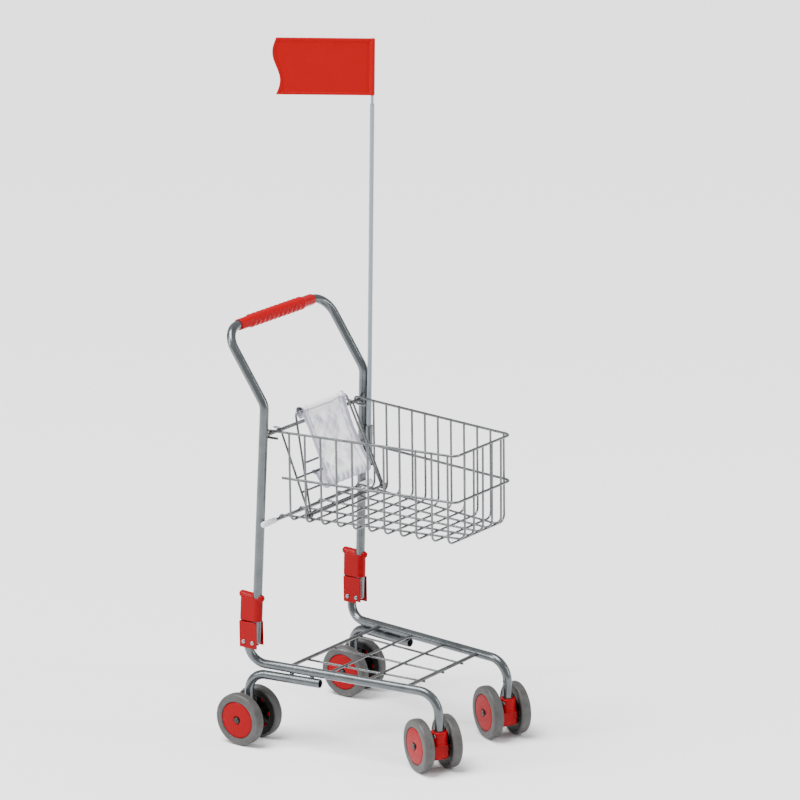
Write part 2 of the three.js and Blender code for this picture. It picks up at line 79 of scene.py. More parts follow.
# ---------------------------------------------------------------- mesh building, in mm until made
class Shell:
    """Vertices, faces and a material index per face, gathered into one object."""

    def __init__(self):
        self.v, self.f, self.m = [], [], []

    def add(self, verts, faces, material=0):
        base = len(self.v)
        self.v.extend(verts)
        self.f.extend([tuple(base + i for i in f) for f in faces])
        self.m.extend([material] * len(faces))

    def mesh(self, name):
        mesh = bpy.data.meshes.new(name)
        mesh.from_pydata([((p[0] - MID) / 1000, p[1] / 1000, p[2] / 1000) for p in self.v], [], self.f)
        return mesh

    def make(self, name, materials, body, replaces=(), sharp=40):
        mesh = self.mesh(name)
        mesh.polygons.foreach_set("material_index", self.m)
        mesh.update()
        mesh.shade_smooth()
        mesh.set_sharp_from_angle(angle=math.radians(sharp))
        for m in materials:
            mesh.materials.append(m)
        obj = bpy.data.objects.new(name, mesh)
        bpy.context.scene.collection.objects.link(obj)
        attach(obj, body)
        if replaces:
            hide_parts(*replaces)
        return obj


def bent(points, bends=0.0, quarter=14):
    """Centre line of a bar: straight runs joined by round bends."""
    points = [Vector(p) for p in points]
    out = [points[0]]
    for i in range(1, len(points) - 1):
        p = points[i]
        radius = bends[i - 1] if isinstance(bends, (list, tuple)) else bends
        a, b = (points[i - 1] - p).normalized(), (points[i + 1] - p).normalized()
        half = a.angle(b) / 2
        if not radius:
            out.append(p)
            continue
        centre = p + (a + b).normalized() * (radius / math.sin(half))
        start = p + a * (radius / math.tan(half)) - centre
        stop = p + b * (radius / math.tan(half)) - centre
        axis = start.cross(stop).normalized()
        turn = math.pi - 2 * half
        n = max(2, math.ceil(turn / (math.pi / 2) * quarter))
        out += [centre + Quaternion(axis, turn * k / n) @ start for k in range(n + 1)]
    out.append(points[-1])
    return out


def tangents(line, closed=False):
    n = len(line)
    out = []
    for i in range(n):
        d = Vector((0, 0, 0))
        if i > 0 or closed:
            d += (line[i] - line[i - 1]).normalized()
        if i < n - 1 or closed:
            d += (line[(i + 1) % n] - line[i]).normalized()
        out.append(d.normalized())
    return out


def bar(shell, points, radius, bends=0.0, sides=18, quarter=14, open_start=0.0, edge=0.25, closed=False):
    """Round bar along a bent line with eased ends; open_start gives its first end a bore of that depth."""
    line = bent(points, bends, quarter) if not closed else [Vector(p) for p in points]
    tan = tangents(line, closed)
    stations = [(p, t, radius) for p, t in zip(line, tan)]
    if not closed:
        e = min(edge, radius * 0.4)
        first, last = stations[0], stations[-1]
        head = [(first[0], first[1], radius - e), (first[0] + first[1] * e, first[1], radius)]
        if open_start:
            wall, chamfer = 1.1, 0.2
            head = [
                (first[0] + first[1] * open_start, first[1], radius - wall),
                (first[0] + first[1] * chamfer, first[1], radius - wall),
                (first[0], first[1], radius - 0.9),
                (first[0], first[1], radius - chamfer),
                (first[0] + first[1] * chamfer, first[1], radius),
            ]
        tail = [(last[0] - last[1] * e, last[1], radius), (last[0], last[1], radius - e)]
        stations = head + stations[1:-1] + tail
    side = stations[0][1].orthogonal().normalized()
    verts, faces = [], []
    for i, (p, t, r) in enumerate(stations):
        if i:
            side = stations[i - 1][1].rotation_difference(t) @ side
            side = (side - t * side.dot(t)).normalized()
        over = t.cross(side)
        for k in range(sides):
            a = 2 * math.pi * k / sides
            verts.append(p + side * (r * math.cos(a)) + over * (r * math.sin(a)))
    n = len(stations)
    for i in range(n if closed else n - 1):
        for k in range(sides):
            a, b = i * sides + k, i * sides + (k + 1) % sides
            c, d = ((i + 1) % n) * sides + (k + 1) % sides, ((i + 1) % n) * sides + k
            faces.append((a, b, c, d))
    if not closed:
        faces.append(tuple(reversed(range(sides))))
        faces.append(tuple((n - 1) * sides + k for k in range(sides)))
    shell.add(verts, faces)


def lathe(shell, profile, at, axis=Z, segments=72, material=0):
    """Turned shape: profile of (radius, height[, material]) along axis from at."""
    at, axis = Vector(at), Vector(axis).normalized()
    turn = Z.rotation_difference(axis)
    index, verts = [], []
    for entry in profile:
        r, h = entry[0], entry[1]
        if r < 1e-6:
            index.append([len(verts)] * segments)
            verts.append(at + axis * h)
        else:
            index.append([len(verts) + k for k in range(segments)])
            for k in range(segments):
                a = 2 * math.pi * k / segments
                verts.append(at + turn @ Vector((r * math.cos(a), r * math.sin(a), h)))
    by_material = {}
    for i in range(len(profile) - 1):
        m = profile[i][2] if len(profile[i]) > 2 else material
        for k in range(segments):
            step = (k + 1) % segments
            q = tuple(dict.fromkeys((index[i][k], index[i][step], index[i + 1][step], index[i + 1][k])))
            if len(q) > 2:
                by_material.setdefault(m, []).append(q)
    base = len(shell.v)
    shell.v.extend(verts)
    for m, faces in by_material.items():
        shell.f.extend([tuple(base + i for i in f) for f in faces])
        shell.m.extend([m] * len(faces))


def ring(shell, at, axis, big, small, sides=12, count=40):
    """Closed round wire: radius big to its middle line, small across."""
    axis = Vector(axis).normalized()
    u = axis.orthogonal().normalized()
    w = axis.cross(u)
    angles = [2 * math.pi * k / count for k in range(count)]
    points = [Vector(at) + u * (big * math.cos(a)) + w * (big * math.sin(a)) for a in angles]
    bar(shell, points, small, sides=sides, closed=True)


def weld(shell, at, radius=1.6, squash=(1, 1, 1)):
    """Small uneven bead of weld metal."""
    at = Vector(at)
    n, m = 10, 6  # round and down the bead
    verts, faces = [at + Vector((0, 0, radius * squash[2]))], []
    for j in range(1, m):
        for k in range(n):
            a, b = math.pi * j / m, 2 * math.pi * k / n
            d = Vector((math.sin(a) * math.cos(b), math.sin(a) * math.sin(b), math.cos(a)))
            r = radius * (1 + 0.13 * noise.noise(d * 1.7 + at))
            verts.append(at + Vector((d.x * squash[0], d.y * squash[1], d.z * squash[2])) * r)
    verts.append(at - Vector((0, 0, radius * squash[2])))
    for k in range(n):
        faces.append((0, 1 + k, 1 + (k + 1) % n))
        for j in range(m - 2):
            a = 1 + j * n
            faces.append((a + k, a + n + k, a + n + (k + 1) % n, a + (k + 1) % n))
        a = 1 + (m - 2) * n
        faces.append((a + k, len(verts) - 1, a + (k + 1) % n))
    shell.add(verts, faces)


# ---------------------------------------------------------------- materials
class Nodes:
    """A node tree with a Principled shader and short ways to add the usual helpers."""

    def __init__(self, name, **values):
        self.mat = bpy.data.materials.new(name)
        self.mat.use_nodes = True
        self.t = self.mat.node_tree
        self.p = self.t.nodes["Principled BSDF"]
        for key, value in values.items():
            self.p.inputs[key.replace("_", " ")].default_value = value
        self.coord = self.t.nodes.new("ShaderNodeTexCoord").outputs["Object"]

    def link(self, a, b):
        self.t.links.new(a, b)

    def noise(self, scale, detail=3, rough=0.55, stretch=None, distortion=0.0):
        n = self.t.nodes.new("ShaderNodeTexNoise")
        n.inputs["Scale"].default_value = scale
        n.inputs["Detail"].default_value = detail
        n.inputs["Roughness"].default_value = rough
        n.inputs["Distortion"].default_value = distortion
        self.link(self.mapped(stretch), n.inputs["Vector"])
        return n.outputs["Fac"]

    def mapped(self, stretch=None, rotate=None):
        if stretch is None and rotate is None:
            return self.coord
        m = self.t.nodes.new("ShaderNodeMapping")
        m.inputs["Scale"].default_value = stretch or (1, 1, 1)
        m.inputs["Rotation"].default_value = rotate or (0, 0, 0)
        self.link(self.coord, m.inputs["Vector"])
        return m.outputs["Vector"]

    def wave(self, scale, direction, rotate=None, distortion=0.0):
        n = self.t.nodes.new("ShaderNodeTexWave")
        n.bands_direction = direction
        n.inputs["Scale"].default_value = scale
        n.inputs["Distortion"].default_value = distortion
        self.link(self.mapped(None, rotate), n.inputs["Vector"])
        return n.outputs["Fac"]

    def ramp(self, fac, stops):
        r = self.t.nodes.new("ShaderNodeValToRGB")
        e = r.color_ramp.elements
        for i, (at, colour) in enumerate(stops):
            el = e[i] if i < len(e) else e.new(at)
            el.position = at
            el.color = (*colour, 1)
        self.link(fac, r.inputs["Fac"])
        return r.outputs["Color"]

    def span(self, fac, low, high):
        m = self.t.nodes.new("ShaderNodeMapRange")
        m.inputs["To Min"].default_value = low
        m.inputs["To Max"].default_value = high
        self.link(fac, m.inputs["Value"])
        return m.outputs["Result"]

    def maths(self, op, a, b):
        m = self.t.nodes.new("ShaderNodeMath")
        m.operation = op
        for i, v in enumerate((a, b)):
            if isinstance(v, (int, float)):
                m.inputs[i].default_value = v
            else:
                self.link(v, m.inputs[i])
        return m.outputs["Value"]

    def mix(self, fac, a, b):
        m = self.t.nodes.new("ShaderNodeMix")
        m.data_type = "RGBA"
        for key, v in (("Factor", fac), ("A", a), ("B", b)):
            kind = "VALUE" if key == "Factor" else "RGBA"
            socket = [s for s in m.inputs if s.name == key and s.type == kind][0]
            if isinstance(v, (int, float)):
                socket.default_value = v
            elif isinstance(v, tuple):
                socket.default_value = (*v, 1)
            else:
                self.link(v, socket)
        return [s for s in m.outputs if s.type == "RGBA"][0]

    def bump(self, height, strength=0.2, distance=0.0002):
        b = self.t.nodes.new("ShaderNodeBump")
        b.inputs["Strength"].default_value = strength
        b.inputs["Distance"].default_value = distance
        old = self.p.inputs["Normal"].links
        if old:
            self.link(old[0].from_socket, b.inputs["Normal"])
        self.link(height, b.inputs["Height"])
        self.link(b.outputs["Normal"], self.p.inputs["Normal"])

    def colour(self, socket):
        self.link(socket, self.p.inputs["Base Color"])

    def roughness(self, socket):
        self.link(socket, self.p.inputs["Roughness"])


def lacquered_steel(name, dark, light, rough):
    """Silver lacquer over steel, with fine metal flake."""
    n = Nodes(name, Metallic=0.7, Coat_Weight=0.3, Coat_Roughness=0.16)
    cloud = n.noise(55, 4, 0.6)
    fleck = n.noise(1400, 2, 0.5)
    tone = n.maths("ADD", n.maths("MULTIPLY", cloud, 0.7), n.maths("MULTIPLY", fleck, 0.3))
    n.colour(n.ramp(tone, [(0.35, dark), (0.65, light)]))
    n.roughness(n.span(n.noise(160, 4, 0.65), rough - 0.07, rough + 0.1))
    n.bump(fleck, 0.12, 0.00005)
    n.bump(n.noise(240, 3), 0.05, 0.0002)
    return n.mat


def moulded(name, base, deep, rough, grain=0.1, gloss=0.25, coat=0.1):
    """Moulded plastic whose colour drifts between base and deep along the flow."""
    n = Nodes(name, Coat_Weight=coat, Coat_Roughness=0.1, Specular_IOR_Level=gloss)
    flow = n.noise(38, 5, 0.6, distortion=0.6)
    n.colour(n.mix(n.span(flow, 0.0, 0.55), base, deep))
    n.roughness(n.span(n.noise(320, 3), rough - 0.05, rough + 0.1))
    n.bump(n.noise(900, 3, 0.6), grain, 0.00006)
    n.bump(n.noise(70, 2), 0.08, 0.0004)
    return n.mat


def rubber(name):
    n = Nodes(name, Specular_IOR_Level=0.4, Sheen_Weight=0.05, Sheen_Roughness=0.5)
    dust = n.noise(75, 5, 0.65)
    fine = n.noise(1100, 3, 0.6)
    n.colour(n.ramp(dust, [(0.3, (0.034, 0.033, 0.032)), (0.7, (0.062, 0.060, 0.058))]))
    n.roughness(n.span(dust, 0.42, 0.62))
    n.bump(fine, 0.3, 0.00012)
    n.bump(n.noise(170, 4, 0.6), 0.14, 0.0003)
    return n.mat


def cloth(name):
    """Woven white cloth, with lilac shade painted in where the mesh says that a fold is deep, and in its
    tuck, seams, base and turned edges.
    """
    sheen = {"Sheen_Weight": 0.25, "Sheen_Roughness": 0.3}
    n = Nodes(name, Specular_IOR_Level=0.55, Coat_Weight=0.12, Coat_Roughness=0.35, **sheen)
    warp = n.wave(720, "Y", distortion=0.4)
    weft = n.wave(640, "DIAGONAL", rotate=(0, 0.35, 0), distortion=0.4)
    weave = n.maths("MULTIPLY", warp, weft)
    slub = n.noise(90, 4, 0.6, stretch=(1, 6, 1))
    tone = n.maths("ADD", n.maths("MULTIPLY", weave, 0.35), n.maths("MULTIPLY", slub, 0.65))
    # Painted shade: the mesh's per-vertex value turns the thread colour towards lilac below.
    depth = n.t.nodes.new("ShaderNodeAttribute")
    depth.attribute_name = "painted_fold_shade"
    thread = n.ramp(tone, [(0.15, (0.88, 0.88, 0.92)), (0.6, (0.97, 0.97, 0.98))])
    n.colour(n.mix(depth.outputs["Fac"], thread, (0.24, 0.23, 0.33)))
    n.roughness(n.span(weave, 0.3, 0.48))
    n.bump(weave, 0.3, 0.00012)
    n.bump(n.noise(45, 4, 0.55, stretch=(1, 0.4, 1)), 0.5, 0.0012)
    return n.mat


STEEL = lacquered_steel("frame_lacquer", (0.066, 0.075, 0.079), (0.108, 0.120, 0.126), 0.22)
WIRES = lacquered_steel("wire_lacquer", (0.070, 0.074, 0.077), (0.125, 0.132, 0.136), 0.22)
ZINC = lacquered_steel("zinc_plate", (0.13, 0.135, 0.14), (0.24, 0.245, 0.25), 0.16)
DARK_STEEL = lacquered_steel("dark_pin", (0.012, 0.012, 0.013), (0.03, 0.03, 0.032), 0.3)
RED = moulded(
    "red_moulded", (0.250, 0.0002, 0.0030), (0.185, 0.0002, 0.0024), 0.2, 0.08, gloss=0.07, coat=0.02
)
RED_SOFT = moulded(
    "red_grip_soft", (0.330, 0.0002, 0.0042), (0.26, 0.0002, 0.0034), 0.26, 0.2, gloss=0.07, coat=0.02
)
RED_FLAG = moulded(
    "red_flag_sheet", (0.345, 0.0002, 0.0024), (0.31, 0.0002, 0.0020), 0.32, 0.06, gloss=0.05, coat=0.01
)
BLACK = moulded("black_hub", (0.006, 0.006, 0.006), (0.014, 0.0135, 0.013), 0.35, 0.3)
GREY = rubber("grey_tyre")
WHITE = moulded("white_moulded", (0.62, 0.64, 0.68), (0.52, 0.55, 0.60), 0.3)
POLE_WHITE = moulded("pale_pole", (0.23, 0.275, 0.315), (0.18, 0.22, 0.26), 0.28)
CLOTH = cloth("white_cloth")
THREAD = moulded("seam_thread", (0.50, 0.49, 0.57), (0.42, 0.41, 0.48), 0.6)


# ---------------------------------------------------------------- frame tubes
def side_path(s):
    behind = -19  # x of the run inside the fold bracket
    return [
        Vector((behind, s * PIVOT[1], 162)),
        Vector((behind, s * PIVOT[1], 131)),
        Vector((SIDE_BACK[0], s * SIDE_BACK[1], SIDE_Z)),
        Vector((STEM[0], s * STEM[1], SIDE_Z)),
        Vector((STEM[0], s * STEM[1], 48.5)),
    ]


def side_y(x):
    return SIDE_BACK[1] - SIDE_TAPER * (x - SIDE_BACK[0])


# Profile of a black plug whose colour is painted shade for the inside of a hole.
HOLE_SHADE_PLUG = [(0, 0.25), (1.2, 0.3), (1.55, 0.55), (1.8, 0.2), (1.8, -0.6), (0, -0.6), (0, 0.25)]
for side, s in SIDES:
    sh = Shell()
    bar(sh, side_path(s), TUBE, [12, 23, 28], 32, 16, open_start=12)
    # Drilled hole on the inner side, just under the front bend: a black plug with painted shade stands in
    # for the dark inside of the hole
    drill = Vector((STEM[0] - 2.2, s * (STEM[1] - 5.45), 80))
    lathe(sh, HOLE_SHADE_PLUG, drill, Vector((-0.37, -s, 0)), 18, 1)
    sh.make("tube_side_" + side, [STEEL, BLACK], "chassis", ["side_tube_" + side])

    sh = Shell()
    leg = [(87, s * 99, LEG_Z), (REAR[0], s * 113, LEG_Z), (REAR[0], s * REAR[1], 28.5)]
    bar(sh, leg, TUBE, [24], 32, 18, open_start=9)
    for x in (44, 74):
        y = s * (side_y(x) + 1.3)
        weld(sh, (x, y, LEG_WELD_Z), 2.3, squash=(1.5, 0.9, 0.75))
    sh.make("tube_leg_" + side, [STEEL], "chassis", ["rear_leg_" + side])

sh = Shell()
foot_z = PIVOT[2] - 2
right_half = [upright(foot_z, -1), upright(KINK_Z, -1), (BAR[0], -BAR[1], BAR[2])]
left_half = [(BAR[0], BAR[1], BAR[2]), upright(KINK_Z, 1), upright(foot_z, 1)]
bar(sh, right_half + left_half, TUBE, [20, 28, 28, 20], 32, 18, edge=1.6)
sh.make("tube_handle", [STEEL], "upper_frame", ["handle_hoop"])

# Luggage rack: four cross wires, thick at the ends, and three long wires under them
sh = Shell()
RACK = [(37, 2.5), (94.5, 1.75), (152, 1.75), (209.5, 2.5)]
RACK_START, RACK_STOP, RACK_RUN = 33, 213, 182
RACK_LONG_Z = SIDE_Z - 2.2
for x, r in RACK:
    y = side_y(x) - TUBE - 0.2
    bar(sh, [(x, -y, SIDE_Z + 0.5), (x, y, SIDE_Z + 0.5)], r)
    for s in (-1, 1):
        weld(sh, (x, s * (y - 0.3), SIDE_Z + 0.4), r * 1.18, squash=(1.0, 0.7, 1.0))
for back, front in ((-57, -42), (0, 0), (57, 42)):
    bar(sh, [(RACK_START, back, RACK_LONG_Z), (RACK_STOP, front, RACK_LONG_Z)], WIRE, sides=14)
    for x, r in RACK:
        y = back + (front - back) * (x - RACK_START) / RACK_RUN
        weld(sh, (x, y, SIDE_Z - 0.9), 1.25, squash=(1.1, 1.1, 0.7))
sh.make("rack_wires", [WIRES], "chassis", ["rack_grille"])

# Cross bar
sh = Shell()
y = upright(CROSS_Z, 1).y - TUBE - 0.1
bar(sh, [(HOOK_X, -y, CROSS_Z), (HOOK_X, y, CROSS_Z)], CROSS_R, sides=24)
for s in (-1, 1):
    weld(sh, (HOOK_X, s * (y - 0.4), CROSS_Z), 3.0, squash=(1, 0.6, 1))
sh.make("cross_bar_wire", [WIRES], "upper_frame", ["cross_bar"])


# ---------------------------------------------------------------- moulded pieces from the CAD shapes
def softened(name, node, material, body, voxel=0.00045, smooth=3, shape=None, bore=None):
    """A moulded copy of a CAD node, or of a given shape, with its edges eased by a fine remesh.

    A bore is cut after the remesh, so that a thin wall round it stays whole."""
    obj = bpy.data.objects.new(name, (shape or nodes[node].data).copy())
    obj.data.materials.clear()
    obj.data.materials.append(material)
    bpy.context.scene.collection.objects.link(obj)
    mod = obj.modifiers.new("remesh", "REMESH")
    mod.mode = "VOXEL"
    mod.voxel_size = voxel
    mod.use_smooth_shade = True
    mod = obj.modifiers.new("ease", "SMOOTH")
    mod.factor = 0.5
    mod.iterations = smooth
    if bore:
        mod = obj.modifiers.new("bore", "BOOLEAN")
        mod.operation, mod.solver, mod.object = "DIFFERENCE", "EXACT", bore
    bpy.context.view_layer.update()
    done = bpy.data.meshes.new_from_object(obj.evaluated_get(bpy.context.evaluated_depsgraph_get()))
    obj.modifiers.clear()
    obj.data = done
    done.shade_smooth()
    if bore:
        done.set_sharp_from_angle(angle=math.radians(50))
    done.materials.clear()
    done.materials.append(material)
    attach(obj, body)
    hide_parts(node)
    return obj


COLLAR_R, COLLAR_BACK, COLLAR_BORE = 7.4, -22.0, 6.45
COLLAR_FOOT, COLLAR_TOP = 29.2, 60.6  # along the upright from the pivot
ROLL = [(0, -29), (1.6, -28.8), (3.0, -28.1), (4.2, -26.9), (4.8, -25.4), (5.0, -24.0)]
ROLL += [(5.0, 5.6), (4.8, 7.0), (4.2, 8.5), (3.0, 9.7), (1.6, 10.4), (0, 10.6)]


def lock_collar(side, s):
    """Sliding lock: half-round in front of the upright, square behind it, with a finger roll on top."""
    up = Vector((LEAN, s * SPLAY, 1)).normalized()
    fore = Y.cross(up).normalized()
    over = up.cross(fore)
    foot = upright(PIVOT[2], s)
    steps = 24
    angles = [math.pi * k / steps for k in range(steps + 1)]
    front = [(COLLAR_R * math.sin(a), -COLLAR_R * math.cos(a)) for a in angles]
    outline = [(COLLAR_BACK, -COLLAR_R)] + front + [(COLLAR_BACK, COLLAR_R)]
    n = len(outline)
    low = foot.z + COLLAR_FOOT * up.z + COLLAR_R * fore.z  # level underside, just clear of the bracket
    under, top = [], []
    for x, y in outline:
        across = foot + fore * x + over * y
        under.append(across + up * ((low - foot.z - fore.z * x - over.z * y) / up.z))
        top.append(across + up * COLLAR_TOP)
    walls = [(i, (i + 1) % n, n + (i + 1) % n, n + i) for i in range(n)]
    sh = Shell()
    sh.add(under + top, walls + [tuple(reversed(range(n))), tuple(range(n, 2 * n))])
    lathe(sh, ROLL, foot + up * COLLAR_TOP, fore, 32)
    drill = Shell()
    lathe(drill, [(0, 20), (COLLAR_BORE, 20), (COLLAR_BORE, 90), (0, 90)], foot, up, 48)
    bore = bpy.data.objects.new("collar_bore", drill.mesh("collar_bore"))
    bpy.context.scene.collection.objects.link(bore)
    name, node, body = "collar_moulding_" + side, "lock_collar_" + side, "collar_" + side
    softened(name, node, RED, body, shape=sh.mesh("collar"), bore=bore)
    bpy.data.objects.remove(bore)


RIVET_HEAD = [(2, 8.2), (2.95, 8.2), (2.95, 8.4), (2.8, 8.9), (2.2, 9.4), (1.2, 9.8), (0, 9.9)]
RIVET = [(r, -h) for r, h in reversed(RIVET_HEAD)] + RIVET_HEAD
SOCKET_SCREW = [(0, 6.9), (1.3, 6.9), (1.3, 9.4), (2.5, 9.45), (2.6, 9.8)]
SOCKET_SCREW += [(2.2, 10.5), (1.4, 10.9), (0.9, 10.95), (0.7, 10.3), (0, 10.2)]
SLEEVE_SCREW = [(0, 3.6), (1.1, 3.6), (1.1, 5.3), (2.2, 5.3), (2.4, 5.6)]
SLEEVE_SCREW += [(2.2, 6.3), (1.5, 6.8), (0.8, 7.0), (0.6, 6.5), (0, 6.4)]
for side, s in SIDES:
    softened("fold_bracket_" + side, "hinge_bracket_" + side, RED, "chassis")
    lock_collar(side, s)
    softened("stem_socket_" + side, "caster_socket_" + side, RED, "chassis")
    softened("fork_moulding_" + side, "caster_fork_" + side, RED, "caster_" + side)
    rivets = (("rear_rivet_", -20.0, "bracket_rivet_"), ("front_rivet_", PIVOT[0], "pivot_rivet_"))
    for name, x, node in rivets:
        sh = Shell()
        lathe(sh, RIVET, (x, s * PIVOT[1], PIVOT[2]), Y, 28)
        sh.make(name + side, [ZINC], "chassis", [node + side])
    # Screw sunk in the stem socket, domed with a small recess
    sh = Shell()
    at = Vector((STEM[0], s * STEM[1], 52))
    lathe(sh, SOCKET_SCREW, at, -Y, 24)
    sh.make("socket_screw_" + side, [ZINC], "chassis", ["caster_screw_" + side])

# Flag pole holder, its screw, the pole and the flag
softened("pole_sleeve", "flag_pole_holder", STEEL, "upper_frame", 0.00035)
sh = Shell()
lathe(sh, SLEEVE_SCREW, POLE_AT + POLE_DIR * 42, Vector((0.2, 1, 0)), 24)
sh.make("sleeve_screw", [ZINC], "upper_frame", ["holder_screw"])
sh = Shell()
bar(sh, [POLE_AT + POLE_DIR * POLE, POLE_AT + POLE_DIR * 1.5], 3.0, sides=28, open_start=12, edge=0.8)
sh.make("pole_rod", [POLE_WHITE], "pole", ["flag_pole"])


def flag_piece():
    """Thin moulded sheet with a raised border and a wavy free edge, on a socket stem."""
    away = Vector((-0.807, -0.59, 0))
    side = away.cross(POLE_DIR).normalized()
    run = POLE_DIR.cross(side).normalized()
    base = POLE_AT + POLE_DIR * (POLE + 12)
    width, height, nx, ny = 124.0, 75.0, 96, 60
    border, rise, thin = 3.2, 1.7, 0.8  # half thicknesses of the border and the sheet inside it
    wave, straight = 5, 20
    sh = Shell()

    def edge(t):
        return -wave * math.sin(2 * math.pi * t)

    def thickness(u, w):
        d = min(u, width - u, w, height - w)
        if d <= border - 0.5:
            return rise if d > 0.5 else rise - 0.45 * (1 - d / 0.5)
        if d < border + 0.5:
            k = (d - border + 0.5)
            return rise + (thin - rise) * (k * k * (3 - 2 * k))
        return thin

    def stations(size, count):
        """Close together over the border, even across the sheet."""
        rim = [0, 0.25, 0.5, 1.4, 2.7, 2.95, 3.2, 3.45, 3.7]
        inside = [rim[-1] + (size - 2 * rim[-1]) * i / count for i in range(1, count)]
        return rim + inside + [size - c for c in reversed(rim)]

    us, ws = stations(width, nx), stations(height, ny)
    for sgn in (1, -1):
        verts = []
        for w in ws:
            for u in us:
                shift = edge(w / height) * max(0.0, (u - straight) / (width - straight)) ** 1.5
                off = thickness(u, w) * sgn
                verts.append(base + run * (u + shift) + POLE_DIR * w + side * off)
        n = len(us)
        faces = []
        for j in range(len(ws) - 1):
            for i in range(n - 1):
                q = (j * n + i, j * n + i + 1, (j + 1) * n + i + 1, (j + 1) * n + i)
                faces.append(q if sgn > 0 else tuple(reversed(q)))
        sh.add(verts, faces)
    n, m = len(us), len(ws)
    loop = list(range(n)) + [j * n + n - 1 for j in range(1, m)]
    loop += [(m - 1) * n + i for i in range(n - 2, -1, -1)] + [j * n for j in range(m - 2, 0, -1)]
    for k in range(len(loop)):
        a, b = loop[k], loop[(k + 1) % len(loop)]
        sh.f.append((a, a + n * m, b + n * m, b))
        sh.m.append(0)
    stem = [(0, 0), (2.6, 0), (3.2, 0.6), (3.2, 74.4), (2.6, 75), (0, 75)]
    lathe(sh, stem, base, POLE_DIR, 28)
    lathe(sh, [(0, -22), (1.6, -21.8), (2.0, -21.2), (2.0, 1), (0, 1)], base, POLE_DIR, 24, material=1)
    sh.make("flag_sheet", [RED_FLAG, POLE_WHITE], "flag", ["flag"], sharp=35)


flag_piece()

# Ribbed grip with a plain sleeve at each end
sleeve = [(7.7, 57.6), (7.5, 58.2), (7.5, 77.2), (7.3, 77.7), (6.9, 78), (6.45, 78)]
profile = [(r, -y) for r, y in reversed(sleeve)]
ribs, half, root, rib, groove = 12, 57.0, 7.85, 1.15, 0.7
pitch = 2 * half / ribs
for i in range(ribs):
    y0 = -half + i * pitch
    for k in range(9):
        t = k / 8
        crown = rib * math.sin(math.pi * t) ** 0.6 if 0 < t < 1 else 0
        profile.append((root + crown, y0 + groove + (pitch - 2 * groove) * t))
profile += sleeve + [profile[0]]
sh = Shell()
lathe(sh, profile, (BAR[0], 0, BAR[2]), Y, 64)
sh.make("grip_ribbed", [RED_SOFT], "upper_frame", ["handle_grip"], sharp=70)


# ---------------------------------------------------------------- wheels
def wheel(name, at, out, body, tyre, hub):
    """Tyre and hub with their outer face towards out."""
    w = WHEEL_W / 2
    sh = Shell()
    # Tyre: grooved side wall outside, thin lip inside, fine moulding lines round a nearly flat tread.
    bore, recess = 24.8, 31.3
    profile = [(bore, -w + 2.8), (recess, -w + 2.8), (recess, -w + 0.3), (31.6, -w), (32.6, -w + 0.05)]
    profile += [(33.8, -w + 0.8), (34.5, -w + 1.9), (34.85, -w + 3.4)]
    lines = 14
    for k in range(lines * 2 + 1):
        x = -1 + k / lines
        profile.append((WHEEL_R - 0.06 * x * x - (0.09 if k % 2 else 0.0), x * (w - 3.9)))
    profile += [(34.85, w - 3.4), (34.5, w - 1.9), (33.8, w - 0.9), (32.4, w - 0.2), (30.8, w)]
    profile += [(30.4, w - 0.2), (29.9, w - 0.2), (29.5, w), (26.6, w), (26.3, w - 0.18)]
    profile += [(25.9, w - 0.18), (25.6, w), (25.1, w - 0.1), (bore, w - 0.7), (bore, -w + 2.8)]
    lathe(sh, profile, at, out, 96)
    sh.make("tyre_" + name, [GREY], body, [tyre], sharp=50)
    # Hub: crowned red disc outside, black dish with ribs, red snap tabs and a boss inside.
    sh = Shell()
    red, black = 0, 1
    outer = [
        (2.8, w - 5, black), (2.8, w - 1.9, black), (4.3, w - 1.7, black), (4.9, w - 0.6, red),
        (5.3, w - 0.15, red), (6.0, w - 0.02, red), (10, w, red), (17, w - 0.1, red), (22.8, w - 0.4, red),
        (23.3, w - 0.8, red), (23.9, w - 0.65, red), (24.3, w - 0.9, black), (24.5, w - 1.5, black),
        (24.5, -w + 2.5, black), (31.0, -w + 2.5, black), (31.0, -w + 0.6, black), (30.6, -w + 0.3, black),
        (23.4, -w + 0.3, black), (22.6, -w + 0.9, black), (21.6, w - 4, black), (17, w - 3.7, black),
        (9, w - 3.3, black), (7.6, w - 3.5, black), (6.7, -w + 0.6, black), (6.3, -w, black),
        (2.8, -w, black), (2.8, w - 5, black),
    ]
    lathe(sh, outer, at, out, 80)
    at, out = Vector(at), Vector(out).normalized()
    side = Z.cross(out).normalized()
    for i in range(12):
        a = i * math.pi / 6
        radial = side * math.cos(a) + Z * math.sin(a)
        along = out.cross(radial)
        # Thin ribs of the dish, with a red snap tab between each pair of them
        rib, tab = (8.0, 22.0, 0.5, w - 3.8, -w + 3.0), (19.0, 22.4, 2.1, w - 4.4, -w + 1.6)
        r0, r1, half, h0, h1 = rib if i % 2 else tab
        spots = [(r, y, h) for r in (r0, r1) for y in (-half, half) for h in (h0, h1)]
        pts = [at + radial * r + along * y + out * h for r, y, h in spots]
        faces = [(0, 1, 3, 2), (4, 6, 7, 5), (0, 4, 5, 1), (2, 3, 7, 6), (0, 2, 6, 4), (1, 5, 7, 3)]
        sh.add(pts, faces, black if i % 2 else red)
    sh.make("hub_disc_" + name, [RED, BLACK], body, [hub], sharp=35)


FORWARD = Vector((math.cos(TURN), math.sin(TURN), 0))
AXLE = Vector((-math.sin(TURN), math.cos(TURN), 0))
REACH = TWIN + WHEEL_W / 2


